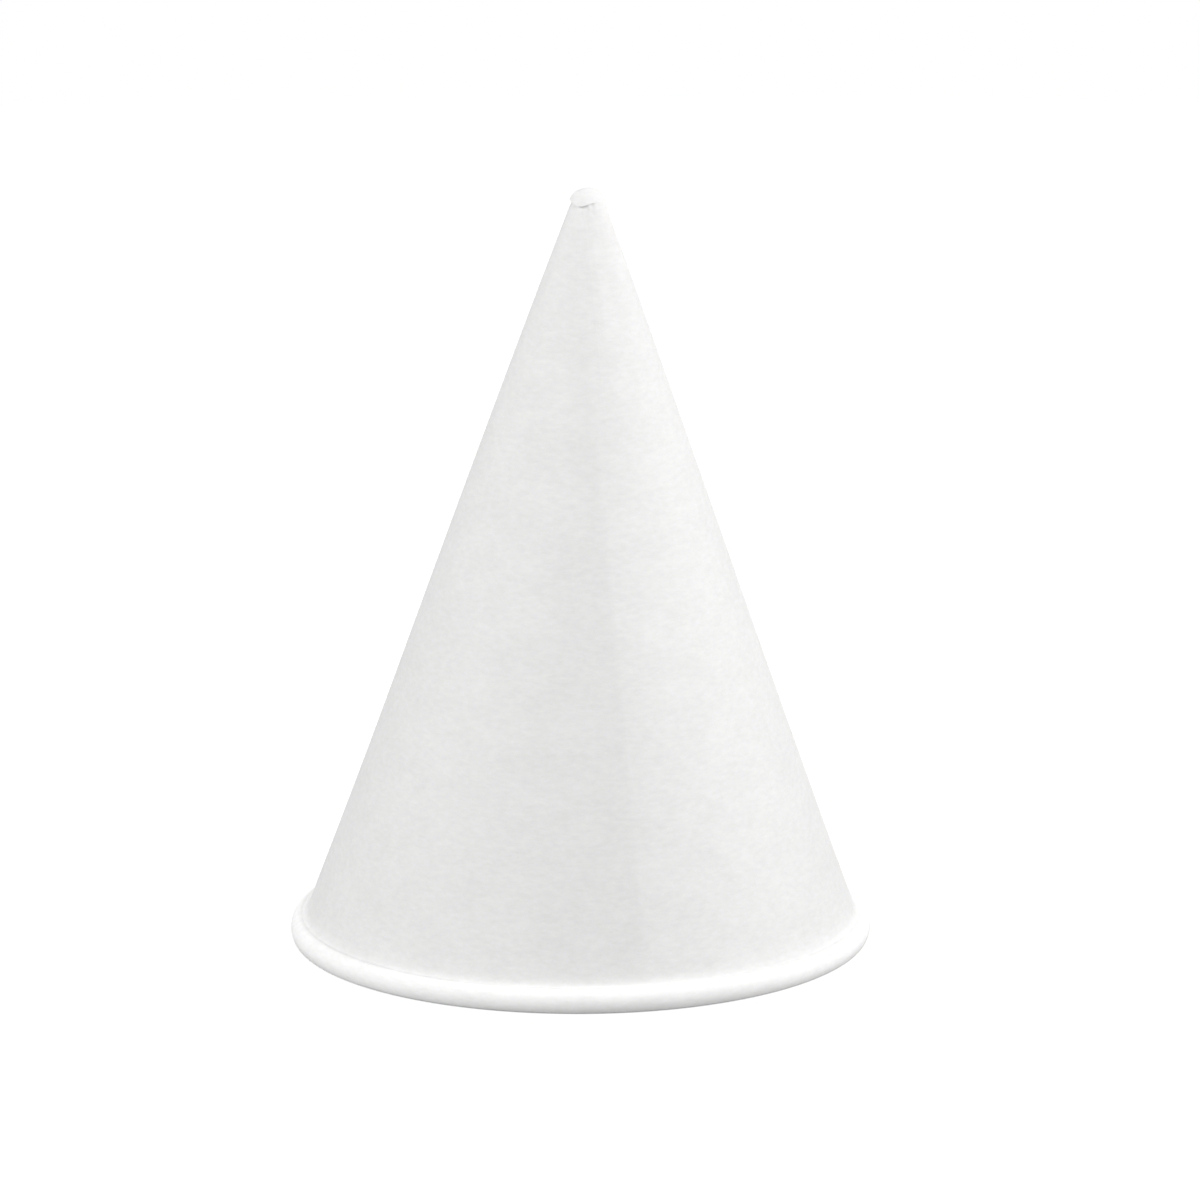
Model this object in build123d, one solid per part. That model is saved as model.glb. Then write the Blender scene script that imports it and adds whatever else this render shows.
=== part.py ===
from build123d import *
import os
from math import asin, atan2, cos, degrees, hypot, radians, sin

# Cone paper cup: one sheet of paper wound into a cone, lapped and glued along one seam,
# closed at a folded tip and curled outwards into a rolled rim round the mouth.
# It stands mouth down on the rim, tip up. The origin is the centre of the mouth on the
# standing face, +Z runs up the cone's axis to the tip, and the front faces -Y.
# An azimuth is in degrees from the front, positive towards +X. All lengths are millimetres.

# Whole cup
cup_height = 95.0
rim_diameter = 73.0
sheet = 0.22                 # thickness of the paper

# Tip, one ply folded over the end of the cone
tip_radius = 2.3             # outside, over the folded ply
tip_fold = 2.3               # how far the fold's edge lies below the top

# Rolled rim
rest_width = 0.3             # flat ring that the cup stands on
mouth_bend = 0.24            # inside radius of the turn from the wall to the flat ring
foot_bend = 0.24             # inside radius of the turn from the flat ring to the side
side_bend = 1.95             # inside radius of the bulging side
side_start = 65.0            # heading of the sheet where the bulging side starts, degrees
side_end = 125.0             # and where it ends
tuck_length = 0.9            # straight end of the sheet, tucked down inside the roll
tuck_gap = 0.05              # air between the wall and the tucked end

# Lapped seam
seam_azimuth = 17.7          # direction of the outer ply's free edge
seam_offset = 1.6            # distance of that edge's plane from the axis
jog_azimuth = 33.0           # where the outer ply comes down beside the inner ply's edge
jog_slope = 8.0              # slope of the ply on its way down, degrees
edge_gap_angle = 2.1         # the inner ply's free edge lies this far round before the jog
jog_side_margin = 3.0        # how far past the jog the trimming reaches, degrees
lap_seat = 0.3               # how far the lap runs down behind the top of the roll
inside_margin = 0.4          # how far the trimming reaches into the air inside

rim_radius = rim_diameter / 2
mouth_turn = mouth_bend + sheet
foot_turn = foot_bend + sheet
side_turn = side_bend + sheet
inner_tip_radius = tip_radius - 2 * sheet
tip_centre = Vector(0, cup_height - tip_radius)


def heading_normal(angle):
    """Outward normal of the roll, in section, where the sheet runs at this heading."""
    return Vector(sin(radians(angle)), -cos(radians(angle)))


def roll_centres():
    """Centres of the roll's mouth, foot and side turns in section."""
    reach = rim_radius - side_turn + (side_turn - foot_turn) * sin(radians(side_start))
    foot = Vector(reach, foot_turn)
    mouth = Vector(reach - rest_width, mouth_turn)
    side = foot - heading_normal(side_start) * (side_turn - foot_turn)
    return mouth, foot, side


def wall_slope(mouth):
    """Angle in radians between the axis and the wall, tangent to the tip and the mouth turn."""
    run = mouth - tip_centre
    return atan2(run.X, -run.Y) - asin((inner_tip_radius + mouth_turn) / hypot(run.X, run.Y))


def top_turn_radius(side, mouth):
    """Outside radius of the roll's top turn that brings the tucked end beside the wall."""
    from_wall = (side - mouth).dot(wall_normal) + mouth_turn
    lean = sin(radians(side_end) - slope)
    return (from_wall + side_turn * lean - sheet - tuck_gap) / (1 + lean)


mouth_centre, foot_centre, side_centre = roll_centres()
slope = wall_slope(mouth_centre)
wall_normal = Vector(cos(slope), sin(slope))
wall_down = Vector(sin(slope), -cos(slope))
top_turn = top_turn_radius(side_centre, mouth_centre)
top_centre = side_centre + heading_normal(side_end) * (side_turn - top_turn)


def dome_and_wall(depth, wall_end):
    """Edges from the top of the tip down the wall, this deep in from the cup's inside face."""
    radius = inner_tip_radius + depth
    dome = CenterArc(tip_centre, radius, degrees(slope), 90 - degrees(slope))
    wall = Line(tip_centre + wall_normal * radius, wall_end)
    return [dome, wall]


def roll(depth):
    """Edges of the rolled rim, this deep in from the face that shows on the roll."""
    tuck_start = top_centre - wall_normal * (top_turn - depth)
    lean = degrees(slope)
    return [
        CenterArc(mouth_centre, mouth_turn - depth, 180 + lean, 90 - lean),
        Line(mouth_centre - Vector(0, mouth_turn - depth), foot_centre - Vector(0, foot_turn - depth)),
        CenterArc(foot_centre, foot_turn - depth, 270, side_start),
        CenterArc(side_centre, side_turn - depth, 270 + side_start, side_end - side_start),
        CenterArc(top_centre, top_turn - depth, 270 + side_end, 270 + lean - side_end),
        Line(tuck_start, tuck_start + wall_down * tuck_length),
    ]


def turned(edges):
    """Solid of revolution about the axis of a closed section."""
    section = make_face(edges)
    return revolve(Plane.XZ * section, Axis.Z, 360)


def wound_sheet():
    """The single ply all round: closed tip, wall and rolled rim."""
    faces = []
    for depth in (0, sheet):
        wall_end = mouth_centre - wall_normal * (mouth_turn - depth)
        faces.append(dome_and_wall(depth, wall_end) + roll(depth))
    axis_cut = Line(faces[0][0] @ 1, faces[1][0] @ 1)
    free_edge = Line(faces[0][-1] @ 1, faces[1][-1] @ 1)
    return turned([*faces[0], *faces[1], axis_cut, free_edge])


def wall_shell(inner_depth, outer_depth, stop):
    """Closed cone shell between two depths, ending beside the point stop of the section."""
    along = (stop - tip_centre).dot(wall_down)
    faces = []
    for depth in (inner_depth, outer_depth):
        wall_end = tip_centre + wall_normal * (inner_tip_radius + depth) + wall_down * along
        faces.append(dome_and_wall(depth, wall_end))
    axis_cut = Line(faces[0][0] @ 1, faces[1][0] @ 1)
    end_cut = Line(faces[0][1] @ 1, faces[1][1] @ 1)
    return turned([*faces[0], *faces[1], axis_cut, end_cut])


def outward(azimuth):
    """Horizontal direction away from the axis at an azimuth."""
    return Vector(sin(radians(azimuth)), -cos(radians(azimuth)), 0)


def sideways(azimuth):
    """Horizontal direction at right angles to it, towards growing azimuth."""
    return Vector(cos(radians(azimuth)), sin(radians(azimuth)), 0)


def jog_plane(depth):
    """Plane of the outer ply's sloping face at the jog, this deep in from the inside face."""
    out = outward(jog_azimuth)
    normal = out * cos(slope) + Vector(0, 0, sin(slope))
    tilt = radians(jog_slope)
    face_normal = normal * cos(tilt) + sideways(jog_azimuth) * sin(tilt)
    tip = Vector(0, 0, tip_centre.Y)
    start = tip + normal * (inner_tip_radius + sheet) + face_normal * (depth - sheet)
    return Plane(origin=start, z_dir=face_normal)


def before(azimuth, offset=0.0):
    """Upright plane at an azimuth whose lower side looks back to smaller azimuths."""
    side = sideways(azimuth)
    return Plane(origin=side * offset, z_dir=side)


def lap(ply):
    """The strip of outer ply between its free edge and the jog."""
    strip = split(ply, Plane(origin=(0, 0, 0), z_dir=outward(jog_azimuth)), Keep.TOP)
    strip = split(strip, before(jog_azimuth + jog_side_margin), Keep.BOTTOM)
    strip = split(strip, before(seam_azimuth, -seam_offset), Keep.TOP)
    return split(strip, jog_plane(sheet), Keep.BOTTOM)


def edge_groove():
    """The air left inside, between the inner ply's free edge and the sloping ply."""
    shell = wall_shell(-inside_margin, sheet, mouth_centre)
    shell = split(shell, before(jog_azimuth + jog_side_margin), Keep.BOTTOM)
    shell = split(shell, before(jog_azimuth - edge_gap_angle), Keep.TOP)
    return split(shell, jog_plane(0), Keep.BOTTOM)


def tip_cap(ply):
    """The ply folded over the tip, down to the fold's edge."""
    level = Plane(origin=(0, 0, cup_height - tip_fold), z_dir=(0, 0, 1))
    return split(ply, level, Keep.TOP)


def paper_cup():
    """The whole cup as one solid."""
    seat = top_centre + wall_down * lap_seat
    outer_ply = wall_shell(sheet / 2, 2 * sheet, seat)
    return wound_sheet() + lap(outer_ply) + tip_cap(outer_ply) - edge_groove()


os.makedirs("parts", exist_ok=True)
export_step(paper_cup(), "parts/cup.step")
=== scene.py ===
"""White paper cone cup standing mouth down on its rolled rim: its looks, light and camera.

Lengths of the cup are millimetres here, in the same frame as its solid, and become metres
when the mesh is made. An azimuth is in degrees from the front, positive towards +X.
"""
import math

import bpy
import numpy as np
from mathutils import Matrix, Vector


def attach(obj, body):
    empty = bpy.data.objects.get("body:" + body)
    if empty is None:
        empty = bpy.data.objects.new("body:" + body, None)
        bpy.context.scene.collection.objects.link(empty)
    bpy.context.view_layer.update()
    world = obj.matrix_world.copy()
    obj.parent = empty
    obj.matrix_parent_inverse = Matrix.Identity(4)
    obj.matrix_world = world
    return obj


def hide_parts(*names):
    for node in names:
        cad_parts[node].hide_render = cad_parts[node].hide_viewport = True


MM = 0.001

# Whole cup
CUP_HEIGHT = 95.0
RIM_RADIUS = 36.5
SHEET = 0.22
TIP_LEAN = 1.19              # how far the tip leans towards +X

# Tip
TIP_RADIUS = 2.3             # outside, over the folded ply
FOLD_EDGE = 0.02             # the fold's edge lies this far down the wall from the tip's turn
FOLD_CUT = 0.02              # and runs out over this length
FOLD_SOFT_AZIMUTH = 75       # the edge is softest here
FOLD_SOFT_CUT = 2.4          # and runs out over this much more
FOLD_DIP = 0.55              # how far the fold's edge sags at the front left
DIP_AZIMUTH = -22
DIP_WIDTH = 30.0             # in degrees
DIP_BELOW = 2.6              # how far down the wall the sag reaches
NUB_BULGE = 0.09             # how far the folded tip swells over its edge on the left and front
NUB_AZIMUTH = -60
NUB_LENGTH = 1.9             # how far up the dome the swelling and the sag reach
NUB_RISE = 1.5               # length over which the swelling comes in
PINCH = 0.8                  # share of the swelling by which the paper below the edge is drawn in
PINCH_LENGTH = 0.9
NUB_WHITENESS = 0.2          # share of the roll's whiteness on the folded tip

# Rolled rim
REST_WIDTH = 0.05
MOUTH_BEND = 0.2
FOOT_BEND = 0.34
SIDE_BEND = 1.83
SIDE_START = 60.0
SIDE_END = 130.0
TOP_JOIN = 115.0             # direction in the section where the top turn tightens
TUCK_TURN = 0.3              # outside radius of the tight part, beside the wall
TUCK_LENGTH = 0.9
TUCK_GAP = 0.015
SWELL_LENGTH = 0.9           # how far up the wall it swells to meet the top of the roll
SWELL_TOP = 102.0            # direction on the roll's top turn where the swelling meets it
SWELL_DROP = 22.0            # and how much steeper than the roll it comes in, degrees

# Lapped seam
SEAM_AZIMUTH = 17.7
SEAM_OFFSET = 1.6
JOG_AZIMUTH = 33.0
JOG_LENGTH = 6.0             # how far round the ply takes to come down beside the inner one
JOG_SHARE = 0.6              # and at most this share of the lap's width, near the tip
LAP_FADE = 1.5               # length over which the lap dies out above the roll
LAP_PROUD = 0.45             # share of a sheet by which the pressed lap stands proud
CUT = 0.5                    # run of its pressed edge
RIDGE = 0.05                 # height of the gentle ridge that the lap's edge makes in the wall
RIDGE_REACH = 3.0            # how far it spreads to each side
RIDGE_RADIUS = 20.0          # nearer to the axis than this it gets smaller
RIDGE_END = 6.0              # length over which it dies out above the roll
# The lap is whiter over its double ply, and the whitening goes on past the lap round the cup's lit right
# side as painted light, dying away there
LAP_AND_PAINTED_LIGHT_WHITENESS = 0.2          # share of the roll's whiteness on the lap
TONE_START = 16.0            # from here on past the seam, in degrees, it dies away
PAINTED_LIGHT_FADE = 50.0             # over this turn
TONE_RISE = 1.6              # length over which it comes in before the seam
TONE_AT_TIP = 0.4            # share of it at the tip
TONE_FULL = 60.0             # and it is full from this far down the wall

# Wrinkles below the folded tip: azimuth, width in degrees, length and outward height
PLEATS = [
    (-62, 8, 2.6, 0.04), (-46, 7, 3.2, -0.06), (-24, 7, 2.8, 0.04), (-8, 7, 2.6, -0.05),
    (4, 6, 1.2, 0.07), (15, 6, 1.6, -0.12), (34, 9, 3.0, -0.04), (95, 12, 2.0, -0.05),
    (150, 10, 2.4, -0.06), (205, 9, 2.2, -0.05), (250, 10, 2.8, -0.06)]
PLEAT_START = 0.25           # length over which they come in below the fold

# Slow unevenness of the wound wall: height, waves round the cup, where they start, how they
# turn on the way up, waves up the cup and where those start
WAVES = [(0.10, 2, 0.6, 2.1, 5.2, 0.4), (0.08, 3, -1.1, -3.0, 8.1, 0.0), (0.045, 7, 0.9, 4.0, 11.0, 1.3)]
WAVES_ABOVE_RIM = 14.0       # height over which they come in above the rim
WAVES_BELOW_TIP = 12.0       # and die away below the tip

INNER_TIP_RADIUS = TIP_RADIUS - 2 * SHEET
TIP_CENTRE = np.array([0.0, CUP_HEIGHT - TIP_RADIUS])
MOUTH_TURN = MOUTH_BEND + SHEET
FOOT_TURN = FOOT_BEND + SHEET
SIDE_TURN = SIDE_BEND + SHEET


def unit(angle):
    """Direction in the section at an angle in degrees from the outward horizontal."""
    return np.array([math.cos(math.radians(angle)), math.sin(math.radians(angle))])


def roll_centres():
    """Centres of the roll's mouth, foot and side turns in section."""
    reach = RIM_RADIUS - SIDE_TURN + (SIDE_TURN - FOOT_TURN) * math.sin(math.radians(SIDE_START))
    foot = np.array([reach, FOOT_TURN])
    mouth = np.array([reach - REST_WIDTH, MOUTH_TURN])
    side = foot - unit(SIDE_START - 90) * (SIDE_TURN - FOOT_TURN)
    return mouth, foot, side


def wall_slope(mouth):
    """Angle in degrees between the axis and the wall."""
    run = mouth - TIP_CENTRE
    tangent = math.asin((INNER_TIP_RADIUS + MOUTH_TURN) / math.hypot(*run))
    return math.degrees(math.atan2(run[0], -run[1]) - tangent)


def top_turn_radius(side, mouth):
    """Outside radius of the roll's top turn that brings the tucked end beside the wall."""
    from_wall = (side - mouth) @ WALL_NORMAL + MOUTH_TURN
    lean = math.sin(math.radians(SIDE_END - SLOPE))
    tight = math.cos(math.radians(TOP_JOIN - SLOPE))
    spare = from_wall + SIDE_TURN * lean - SHEET - TUCK_GAP - TUCK_TURN * (1 + tight)
    return spare / (lean - tight)


MOUTH_CENTRE, FOOT_CENTRE, SIDE_CENTRE = roll_centres()
SLOPE = wall_slope(MOUTH_CENTRE)
WALL_NORMAL = unit(SLOPE)
WALL_DOWN = unit(SLOPE - 90)
TOP_TURN = top_turn_radius(SIDE_CENTRE, MOUTH_CENTRE)
TOP_CENTRE = SIDE_CENTRE + unit(SIDE_END - 90) * (SIDE_TURN - TOP_TURN)
TUCK_CENTRE = TOP_CENTRE + unit(TOP_JOIN) * (TOP_TURN - TUCK_TURN)
WALL_LENGTH = (MOUTH_CENTRE - TIP_CENTRE) @ WALL_DOWN
TUCK_ALONG = (TUCK_CENTRE - TIP_CENTRE) @ WALL_DOWN
WALL_TOP = TIP_CENTRE + WALL_NORMAL * (INNER_TIP_RADIUS + SHEET)
SWELL_EDGE = TOP_CENTRE + unit(SWELL_TOP) * (TOP_TURN + TUCK_GAP)
SWELL_RUN = unit(SWELL_TOP - 90 - SWELL_DROP)
SWELL_WIDTH = (SWELL_EDGE - WALL_TOP) @ WALL_NORMAL
SWELL_CORNER = SWELL_EDGE - SWELL_RUN * (SWELL_WIDTH / (SWELL_RUN @ WALL_NORMAL))
SWELL_START = SWELL_CORNER - WALL_DOWN * SWELL_LENGTH
LAP_END = (SWELL_START - WALL_TOP) @ WALL_DOWN


class Row:
    """One ring of the sheet's inside face in section, and which way its thickness goes."""

    def __init__(self, point, normal, along, white=0.0, on_roll=False):
        self.point = point
        self.normal = normal
        self.along = along   # distance down the wall from the tip's turn, negative on the dome
        # the roll's whiteness is partly its several plies and partly painted light on the rim
        self.white = white   # share of the roll's whiteness
        self.on_roll = on_roll


def dome_rows(count):
    """Rings of the closed tip, from just beside the axis to the wall."""
    rows = []
    for angle in np.linspace(90, SLOPE, count + 1)[1:]:
        out = unit(angle)
        drop = -(angle - SLOPE) * math.pi / 180 * INNER_TIP_RADIUS
        rows.append(Row(TIP_CENTRE + out * INNER_TIP_RADIUS, out, drop))
    return rows


def wall_rows(distances):
    """Rings of the wall at these distances from the tip's turn."""
    start = TIP_CENTRE + WALL_NORMAL * INNER_TIP_RADIUS
    return [Row(start + WALL_DOWN * d, WALL_NORMAL, d) for d in distances]


def turn_rows(centre, radius, start, end, count):
    """Rings of one turn of the roll, round its centre from one direction to another."""
    rows = []
    for angle in np.linspace(start, end, count + 1)[1:]:
        out = unit(angle)
        # full whiteness on the roll: partly its several plies, partly painted light on the rim
        rows.append(Row(centre + out * radius, -out, WALL_LENGTH, 1.0, True))
    return rows


def swelling_rows():
    """Rings of the wall's swelling, out to the top of the roll and back in along the roll, whitening
    towards the roll as painted bounce light from it.
    """
    rows = []
    for share in np.linspace(0, 1, 9):
        near = (1 - share) * SWELL_START + share * SWELL_CORNER
        far = (1 - share) * SWELL_CORNER + share * SWELL_EDGE
        run = (far - near) / math.hypot(*(far - near))
        out = np.array([-run[1], run[0]])
        surface = (1 - share) * near + share * far
        # whiteness rising towards the roll: painted bounce light from the roll onto the wall
        rows.append(Row(surface - out * SHEET, out, LAP_END + share, white=share ** 3))
    top = (TOP_CENTRE, TOP_TURN, SWELL_TOP, TOP_JOIN)
    tuck = (TUCK_CENTRE, TUCK_TURN, TOP_JOIN, 180 + SLOPE)
    for centre, radius, start, end in (top, tuck):
        for angle in np.linspace(start, end, 4)[1:]:
            out = -unit(angle)
            reach = radius + TUCK_GAP + SHEET
            # the roll's full whiteness on its top and tucked end, partly painted light
            rows.append(Row(centre - out * reach, out, LAP_END + 1, white=1.0))
    return rows


def roll_rows(fineness):
    """Rings of the rolled rim, from the end of the wall to the tucked end."""
    # the roll takes the full whiteness: partly its several plies, partly painted light on the rim
    rows = turn_rows(MOUTH_CENTRE, MOUTH_TURN, 180 + SLOPE, 270, 3 * fineness)
    foot_start = FOOT_CENTRE - np.array([0, FOOT_TURN])
    rows.append(Row(foot_start, np.array([0.0, 1.0]), WALL_LENGTH, 1.0, True))
    rows += turn_rows(FOOT_CENTRE, FOOT_TURN, 270, 270 + SIDE_START, 3 * fineness)
    rows += turn_rows(SIDE_CENTRE, SIDE_TURN, 270 + SIDE_START, 270 + SIDE_END, 4 * fineness)
    rows += turn_rows(TOP_CENTRE, TOP_TURN, 270 + SIDE_END, 360 + TOP_JOIN, 3 * fineness)
    rows += turn_rows(TUCK_CENTRE, TUCK_TURN, 360 + TOP_JOIN, 540 + SLOPE, 3 * fineness)
    tuck = rows[-1]
    for step in (0.5, 1.0):
        point = tuck.point + WALL_DOWN * TUCK_LENGTH * step
        rows.append(Row(point, tuck.normal, WALL_LENGTH, 1.0, True))
    return rows


# Columns of the mesh: on the lap, on its way down to the inner ply and round the rest.
# They follow the seam's lines, and the last and the first stand at the foot and the top of
# the pressed edge.
LAP_COLUMNS = 24
JOG_COLUMNS = 13
ROUND_COLUMNS = 270
CLEAR_OF_TIP = 2.0           # the inside shows the seam from this far down the wall
SHARP_ANGLE = 40.0           # edges with a sharper turn than this are shaded as corners


def smooth(value):
    """Smooth step from 0 to 1."""
    value = np.clip(value, 0, 1)
    return value * value * (3 - 2 * value)


def turned(azimuth, place):
    """Angle from a place to an azimuth, between -180 and 180 degrees."""
    return (azimuth - place + 180) % 360 - 180


def seam_azimuth(radius):
    """Azimuth of the outer ply's free edge at this distance from the axis."""
    reach = min(SEAM_OFFSET / max(radius, SEAM_OFFSET), 0.9)
    return SEAM_AZIMUTH - math.degrees(math.asin(reach))


def jog_start(radius):
    """Azimuth where the outer ply starts to come down, just past the inner ply's edge."""
    lap = JOG_AZIMUTH - seam_azimuth(radius)
    return JOG_AZIMUTH - min(math.degrees(JOG_LENGTH / radius), JOG_SHARE * lap)


def column_azimuths(radius):
    """Azimuths of all columns on a ring of this radius."""
    radius = max(radius, TIP_RADIUS)
    cut = math.degrees(CUT / radius)
    edge = seam_azimuth(radius)
    jog = jog_start(radius)
    lap = np.linspace(edge + cut, jog - cut, LAP_COLUMNS)
    down = np.linspace(jog, JOG_AZIMUTH, JOG_COLUMNS)
    rest = np.linspace(JOG_AZIMUTH, edge + 360, ROUND_COLUMNS)[1:]
    return np.concatenate([lap, down, rest])


def lap_height():
    """How far the outer ply is up at the columns of a ring, from 0 to 1."""
    down = 1 - smooth(np.linspace(0, 1, JOG_COLUMNS))
    return np.concatenate([np.ones(LAP_COLUMNS), down, np.zeros(ROUND_COLUMNS - 1)])


def lap_tone_and_painted_light(azimuth, radius, along):
    """Share of the lap's whiteness round a ring: full from the seam's edge over the double ply, then
    dying away past the lap as painted light on the cup's lit right side.
    """
    radius = max(radius, TIP_RADIUS)
    turn = azimuth - seam_azimuth(radius)
    before = smooth(1 - np.radians(360 - turn) * radius / TONE_RISE)
    tone = np.maximum(before, 1 - smooth((turn - TONE_START) / PAINTED_LIGHT_FADE))
    return (TONE_AT_TIP + (1 - TONE_AT_TIP) * smooth(along / TONE_FULL)) * tone


def inner_gap():
    """Share of a sheet by which the inside face lies deeper, beside the inner ply's edge."""
    gap = lap_height() * LAP_PROUD
    gap[:LAP_COLUMNS] = 0
    return gap


def fold_height(azimuth, along):
    """Share of a sheet by which the ply folded over the tip stands proud."""
    right = np.cos(np.radians(turned(azimuth, FOLD_SOFT_AZIMUTH) / 1.15))
    cut = FOLD_CUT + FOLD_SOFT_CUT * smooth(right * 1.4 - 0.2)
    return 1 - smooth((along - FOLD_EDGE) / cut)


def seam_ridge(azimuth, radius):
    """How far the wall rises to the outer ply's free edge on both sides of it."""
    edge = seam_azimuth(max(radius, TIP_RADIUS))
    away = np.abs(np.radians(turned(azimuth, edge))) * radius
    share = min(radius / RIDGE_RADIUS, 1)
    return RIDGE * share * np.exp(-away / (RIDGE_REACH * share))


def pleats(azimuth, along):
    """Short upright wrinkles in the paper below the folded tip."""
    depth = np.zeros_like(azimuth)
    for place, width, length, amount in PLEATS:
        across = np.exp(-(turned(azimuth, place) / width) ** 2)
        depth += amount * across * smooth(along / PLEAT_START) * (1 - smooth(along / length))
    return depth


def nub(azimuth, along):
    """Swelling of the folded tip above its edge, and the pinch below it."""
    side = smooth(0.1 + 1.2 * np.cos(np.radians(azimuth - NUB_AZIMUTH)))
    if along <= FOLD_EDGE:
        return NUB_BULGE * side * smooth((along + NUB_LENGTH) / NUB_RISE)
    return -PINCH * NUB_BULGE * side * (1 - smooth(along / PINCH_LENGTH))


def dip(azimuth, along):
    """How far the fold's edge sags at the front left, with the paper just above and below."""
    if along < 0:
        reach = smooth((along + NUB_LENGTH) / NUB_LENGTH)
    else:
        reach = 1 - smooth(along / DIP_BELOW)
    return FOLD_DIP * np.exp(-(turned(azimuth, DIP_AZIMUTH) / DIP_WIDTH) ** 2) * reach


def wander(azimuth, height):
    """Slow unevenness of the wound wall, in millimetres outwards."""
    turn = np.radians(azimuth)
    up = height / CUP_HEIGHT
    held = smooth(height / WAVES_ABOVE_RIM) * smooth((CUP_HEIGHT - height) / WAVES_BELOW_TIP)
    waves = np.zeros_like(up)
    for amount, number, start, twist, rise, shift in WAVES:
        waves += amount * np.sin(number * turn + start + twist * up) * np.sin(rise * up + shift)
    return waves * held


def ring(row, depth):
    """Points of one ring of the mesh at a depth from the inside face, before the lean."""
    return row.point[None] + row.normal[None] * depth[:, None]


def placed(section, azimuth):
    """Points in space of a ring given by radius and height, with the wander and the lean."""
    radius = section[:, 0]
    height = section[:, 1]
    radius = radius + wander(azimuth, height)
    turn = np.radians(azimuth)
    lean = TIP_LEAN * height / CUP_HEIGHT
    return np.stack([radius * np.sin(turn) + lean, -radius * np.cos(turn), height], axis=-1)


def outer_ring(row):
    """Points and whiteness of one ring of the face away from the inside."""
    radius = (row.point + row.normal * SHEET)[0]
    azimuth = column_azimuths(radius)
    depth = np.full_like(azimuth, SHEET)
    white = np.full_like(azimuth, row.white)
    if row.on_roll:
        return placed(ring(row, depth), azimuth), white
    fold = fold_height(azimuth, row.along)
    lap = lap_height() * smooth((LAP_END - row.along) / LAP_FADE)
    depth += seam_ridge(azimuth, radius) * smooth((LAP_END - row.along) / RIDGE_END)
    depth += pleats(azimuth, row.along) + nub(azimuth, row.along)
    section = ring(row, depth + SHEET * np.maximum(lap * LAP_PROUD, fold))
    section = section + WALL_DOWN * dip(azimuth, row.along)[:, None]
    # whiter double-ply lap, with painted light past it on the lit right side
    lap_white_and_painted_light = lap_tone_and_painted_light(azimuth, radius, row.along) * LAP_AND_PAINTED_LIGHT_WHITENESS
    white = np.maximum(white, np.maximum(lap_white_and_painted_light, fold * NUB_WHITENESS))
    return placed(section, azimuth), white


def inner_ring(row):
    """Points and whiteness of one ring of the inside face, which shows on the roll."""
    radius = row.point[0]
    azimuth = column_azimuths(radius)
    depth = np.zeros_like(azimuth)
    if row.along > CLEAR_OF_TIP and not row.on_roll:
        depth += inner_gap() * SHEET
        depth += seam_ridge(azimuth, radius) * smooth((LAP_END - row.along) / RIDGE_END)
    return placed(ring(row, depth), azimuth), np.full_like(azimuth, row.white)


def cup_rings():
    """Points and whiteness of all rings: outside, rolled rim, tucked end and inside."""
    wall_out = [0.0, FOLD_EDGE, FOLD_EDGE + FOLD_CUT, 0.15, 0.3, 0.5, 0.75, 1.0, 1.3, 1.6]
    wall_out += [2.0, 2.5, 3.1, 3.8, 4.6] + list(np.linspace(5.5, LAP_END - LAP_FADE, 70))
    wall_out += list(np.linspace(LAP_END - LAP_FADE, LAP_END, 5)[1:-1])
    wall_under = list(np.linspace(TUCK_ALONG, WALL_LENGTH, 4)[1:])
    wall_in = list(np.linspace(0, 6, 5)) + list(np.linspace(8, WALL_LENGTH, 56))
    outside = dome_rows(12)[:-1] + wall_rows(wall_out) + swelling_rows() + wall_rows(wall_under)
    rings = [outer_ring(row) for row in outside + roll_rows(2)]
    inside = dome_rows(8)[:-1] + wall_rows(wall_in) + roll_rows(3)
    rings += [inner_ring(row) for row in reversed(inside)]
    points = np.stack([ring_points for ring_points, ring_white in rings])
    white = np.stack([ring_white for ring_points, ring_white in rings])
    return points, white


def cup_mesh():
    """Corners, faces and whiteness of the closed mesh, faces turned outwards."""
    points, white = cup_rings()
    rows, columns = white.shape
    top = [TIP_LEAN, 0.0, CUP_HEIGHT]
    under = [TIP_LEAN, 0.0, CUP_HEIGHT - 2 * SHEET]
    vertices = np.concatenate([points.reshape(-1, 3), [top], [under]]) * MM
    values = np.concatenate([white.ravel(), [1.0], [0.0]])
    faces = []
    for r in range(rows - 1):
        for c in range(columns):
            n = (c + 1) % columns
            below = (r + 1) * columns
            faces.append((r * columns + c, below + c, below + n, r * columns + n))
    last = (rows - 1) * columns
    for c in range(columns):
        n = (c + 1) % columns
        faces.append((rows * columns, c, n))
        faces.append((rows * columns + 1, last + n, last + c))
    return vertices, faces, values


def make_cup(material):
    """The cup as a Blender object that stands for the solid."""
    vertices, faces, values = cup_mesh()
    mesh = bpy.data.meshes.new("paper_cone")
    mesh.from_pydata(vertices.tolist(), [], faces)
    mesh.validate()
    # share of the roll's whiteness per point: the paper's plies, and painted light on the rim, past the
    # lap and on the swelling
    plies_and_painted_light = mesh.attributes.new("plies_and_painted_light", "FLOAT", "POINT")
    plies_and_painted_light.data.foreach_set("value", values.astype(np.float32))
    mesh.shade_smooth()
    mesh.set_sharp_from_angle(angle=math.radians(SHARP_ANGLE))
    mesh.materials.append(material)
    cup = bpy.data.objects.new("paper_cone", mesh)
    bpy.context.collection.objects.link(cup)
    return cup


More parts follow.
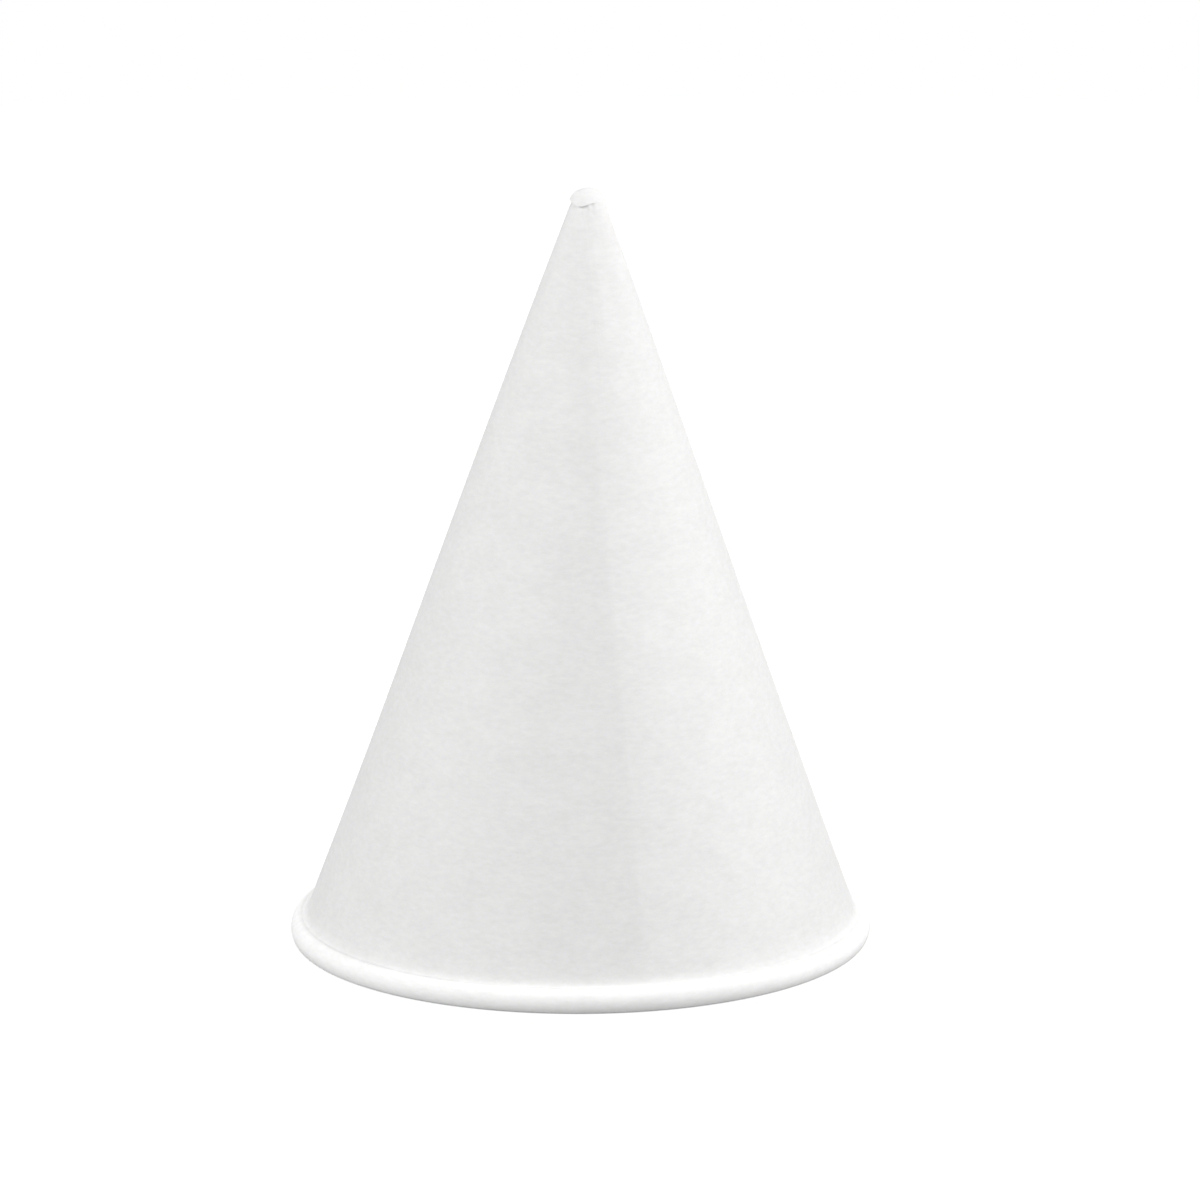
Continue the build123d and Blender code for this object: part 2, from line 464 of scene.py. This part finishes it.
class Nodes:
    """Short way to add nodes to a material or world and link them."""

    def __init__(self, owner):
        owner.use_nodes = True
        self.tree = owner.node_tree
        self.tree.nodes.clear()

    def add(self, kind, inputs=None, **settings):
        """New node with its settings, whose inputs are values or other nodes' outputs."""
        node = self.tree.nodes.new(kind)
        for name, value in settings.items():
            setattr(node, name, value)
        for name, value in (inputs or {}).items():
            if isinstance(value, bpy.types.NodeSocket):
                self.tree.links.new(value, node.inputs[name])
            else:
                node.inputs[name].default_value = value
        return node


def mapped(nodes, scale):
    """Object coordinates, scaled per axis."""
    place = nodes.add("ShaderNodeTexCoord")
    inputs = {"Vector": place.outputs["Object"], "Scale": scale}
    return nodes.add("ShaderNodeMapping", inputs).outputs["Vector"]


def noise(nodes, scale, detail=3.0, roughness=0.55):
    """Noise whose grain is one over the scale, in metres."""
    inputs = {"Vector": mapped(nodes, scale), "Scale": 1.0, "Detail": detail, "Roughness": roughness}
    return nodes.add("ShaderNodeTexNoise", inputs).outputs["Fac"]


def ranged(nodes, value, low, high, start=0.3, end=0.7):
    """A value between start and end, spread between low and high."""
    inputs = {"Value": value, "From Min": start, "From Max": end, "To Min": low, "To Max": high}
    return nodes.add("ShaderNodeMapRange", inputs).outputs["Result"]


def times(nodes, a, b):
    """Product of two values."""
    return nodes.add("ShaderNodeMath", {0: a, 1: b}, operation="MULTIPLY").outputs[0]


# Paper: its tones, and the noises of its mottle, finer up the cup than round it, per metre
SINGLE_PLY = (0.745, 0.745, 0.74, 1.0)
# Tone of the rolled rim: whiter from its several plies, and lightened further as painted light on the
# rim
ROLLED_PLY_AND_PAINTED_LIGHT = (0.93, 0.93, 0.925, 1.0)
FIBRES = (780, 780, 1900)
CLOUDS = (150, 150, 260)
GRAIN = (2500, 2500, 5000)
GRAIN_DEPTH = 0.03 * MM


def paper_material():
    """White uncoated paper: whiter where it lies double and rolled, partly from its plies and partly as
    painted light on the rim, past the lap and on the wall's swelling, with a fine level mottle of
    fibres.
    """
    material = bpy.data.materials.new("paper")
    nodes = Nodes(material)
    # whiteness share from the paper's plies and from painted light on the rim, past the lap and on the
    # swelling
    plies_and_painted_light = nodes.add("ShaderNodeAttribute", attribute_name="plies_and_painted_light")
    fibres = noise(nodes, FIBRES, 4.0, 0.65)
    clouds = noise(nodes, CLOUDS)
    tone = times(nodes, ranged(nodes, fibres, 0.96, 1.035), ranged(nodes, clouds, 0.982, 1.018))
    base = nodes.add("ShaderNodeMix", data_type="RGBA")
    nodes.tree.links.new(plies_and_painted_light.outputs["Fac"], base.inputs[0])
    base.inputs[6].default_value = SINGLE_PLY
    base.inputs[7].default_value = ROLLED_PLY_AND_PAINTED_LIGHT
    colour = nodes.add("ShaderNodeVectorMath", {0: base.outputs[2]}, operation="SCALE")
    nodes.tree.links.new(tone, colour.inputs["Scale"])
    grain = noise(nodes, GRAIN, 3.0, 0.6)
    bump = nodes.add("ShaderNodeBump", {"Height": grain, "Strength": 0.35, "Distance": GRAIN_DEPTH})
    rough = ranged(nodes, grain, 0.78, 0.9)
    shader = nodes.add("ShaderNodeBsdfPrincipled", {
        "Base Color": colour.outputs[0], "Roughness": rough, "Normal": bump.outputs["Normal"],
        "Specular IOR Level": 0.3})
    nodes.add("ShaderNodeOutputMaterial", {"Surface": shader.outputs["BSDF"]})
    return material


# Light and surroundings
WORLD_LIGHT = 0.35
FLOOR_RADIUS = 0.7
FLOOR_TONE = 0.25
FLOOR_SHADOW = 0.35          # share of the floor's seen colour that answers to light
FLOOR_GLOW = 0.78            # and the even rest
FLOOR_GAP = 0.01 * MM


def seen_directly(nodes):
    """One for camera, glossy and transmission rays, else zero."""
    path = nodes.add("ShaderNodeLightPath")
    either = nodes.add("ShaderNodeMath", {0: path.outputs["Is Camera Ray"],
                                          1: path.outputs["Is Glossy Ray"]}, operation="MAXIMUM")
    return nodes.add("ShaderNodeMath", {0: either.outputs[0],
                                        1: path.outputs["Is Transmission Ray"]},
                     operation="MAXIMUM").outputs[0]


def make_world():
    """Even light all round, seen as plain white."""
    world = bpy.data.worlds.new("studio")
    bpy.context.scene.world = world
    nodes = Nodes(world)
    strength = ranged(nodes, seen_directly(nodes), WORLD_LIGHT, 1.0, 0.0, 1.0)
    light = nodes.add("ShaderNodeBackground", {"Color": (1, 1, 1, 1), "Strength": strength})
    nodes.add("ShaderNodeOutputWorld", {"Surface": light.outputs[0]})


def floor_material():
    """White floor that keeps the cup's shadow and is seen as white round it."""
    material = bpy.data.materials.new("floor")
    nodes = Nodes(material)
    plain = nodes.add("ShaderNodeBsdfDiffuse", {"Color": (FLOOR_TONE,) * 3 + (1,)})
    shaded = nodes.add("ShaderNodeBsdfDiffuse", {"Color": (FLOOR_SHADOW,) * 3 + (1,)})
    glow = nodes.add("ShaderNodeEmission", {"Color": (1, 1, 1, 1), "Strength": FLOOR_GLOW})
    seen = nodes.add("ShaderNodeAddShader", {0: shaded.outputs[0], 1: glow.outputs[0]})
    mix = nodes.add("ShaderNodeMixShader", {0: seen_directly(nodes), 1: plain.outputs[0],
                                            2: seen.outputs[0]})
    nodes.add("ShaderNodeOutputMaterial", {"Surface": mix.outputs[0]})
    return material


def make_floor():
    """Round floor just below the rim."""
    mesh = bpy.data.meshes.new("floor")
    angles = np.linspace(0, 2 * math.pi, 65)[:-1]
    rim = [(FLOOR_RADIUS * math.cos(a), FLOOR_RADIUS * math.sin(a), 0.0) for a in angles]
    mesh.from_pydata(rim, [], [tuple(range(len(rim)))])
    mesh.materials.append(floor_material())
    floor = bpy.data.objects.new("floor", mesh)
    floor.location.z = -FLOOR_GAP
    bpy.context.collection.objects.link(floor)
    return floor


def lamp(name, azimuth, elevation, distance, size, power, target=(0.0, 0.0, 0.045)):
    """Square soft lamp that faces the cup from an azimuth and elevation in degrees."""
    a = math.radians(azimuth)
    e = math.radians(elevation)
    back = Vector((math.sin(a) * math.cos(e), -math.cos(a) * math.cos(e), math.sin(e)))
    data = bpy.data.lights.new(name, "AREA")
    data.size = size
    data.energy = power
    light = bpy.data.objects.new(name, data)
    light.location = Vector(target) + back * distance
    light.rotation_euler = (-back).to_track_quat("-Z", "Y").to_euler()
    bpy.context.collection.objects.link(light)


# Camera, in metres and degrees
CAMERA_DISTANCE = 0.8
CAMERA_ELEVATION = 12.79
CAMERA_ROLL = 0.164
LENS = 192.77
AIM = (0.0, 0.0, 0.0475)
FRAME_RIGHT = 0.002561       # how far the frame's centre lies right of the aim
FRAME_DOWN = 0.004425        # and below it


def make_camera():
    """Camera at the photograph's height and angle."""
    e = math.radians(CAMERA_ELEVATION)
    forward = Vector((0, math.cos(e), -math.sin(e)))
    right = Vector((1, 0, 0))
    up = right.cross(forward)
    place = Vector(AIM) - forward * CAMERA_DISTANCE
    look = Vector(AIM) + right * FRAME_RIGHT - up * FRAME_DOWN - place
    data = bpy.data.cameras.new("camera")
    data.lens = LENS
    data.sensor_width = 36.0
    data.clip_start = 0.05
    data.clip_end = 20.0
    camera = bpy.data.objects.new("camera", data)
    turn = look.to_track_quat("-Z", "Y").to_matrix()
    camera.matrix_world = Matrix.Translation(place) @ (
        turn @ Matrix.Rotation(math.radians(-CAMERA_ROLL), 3, "Z")).to_4x4()
    bpy.context.collection.objects.link(camera)
    bpy.context.scene.camera = camera


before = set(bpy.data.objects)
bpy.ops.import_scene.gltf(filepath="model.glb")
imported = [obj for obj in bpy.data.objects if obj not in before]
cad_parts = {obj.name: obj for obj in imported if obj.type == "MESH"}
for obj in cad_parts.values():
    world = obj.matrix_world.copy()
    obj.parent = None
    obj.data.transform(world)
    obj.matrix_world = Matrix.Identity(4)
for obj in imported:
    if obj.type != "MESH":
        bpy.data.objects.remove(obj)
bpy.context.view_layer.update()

make_camera()
cup = make_cup(paper_material())
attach(cup, "root")
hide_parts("cup")

floor = make_floor()
make_world()
lamp("right_near", 90, 35, 0.35, 0.25, 0.56, (0.0, 0.0, 0.085))
lamp("right_low", 90, 8, 0.35, 0.25, 0.36, (0.0, 0.0, 0.02))
lamp("front_right", 60, 30, 0.9, 0.6, 1.8)
lamp("front_low", 0, 4, 0.9, 0.5, 2.47)
lamp("front_near", 5, 45, 0.22, 0.12, 0.063, (0.0, 0.0, 0.09))
lamp("left", -75, 25, 0.9, 0.6, 5.22)
lamp("back", 180, 25, 0.9, 0.6, 2.0)

bpy.context.scene.view_settings.view_transform = "Standard"
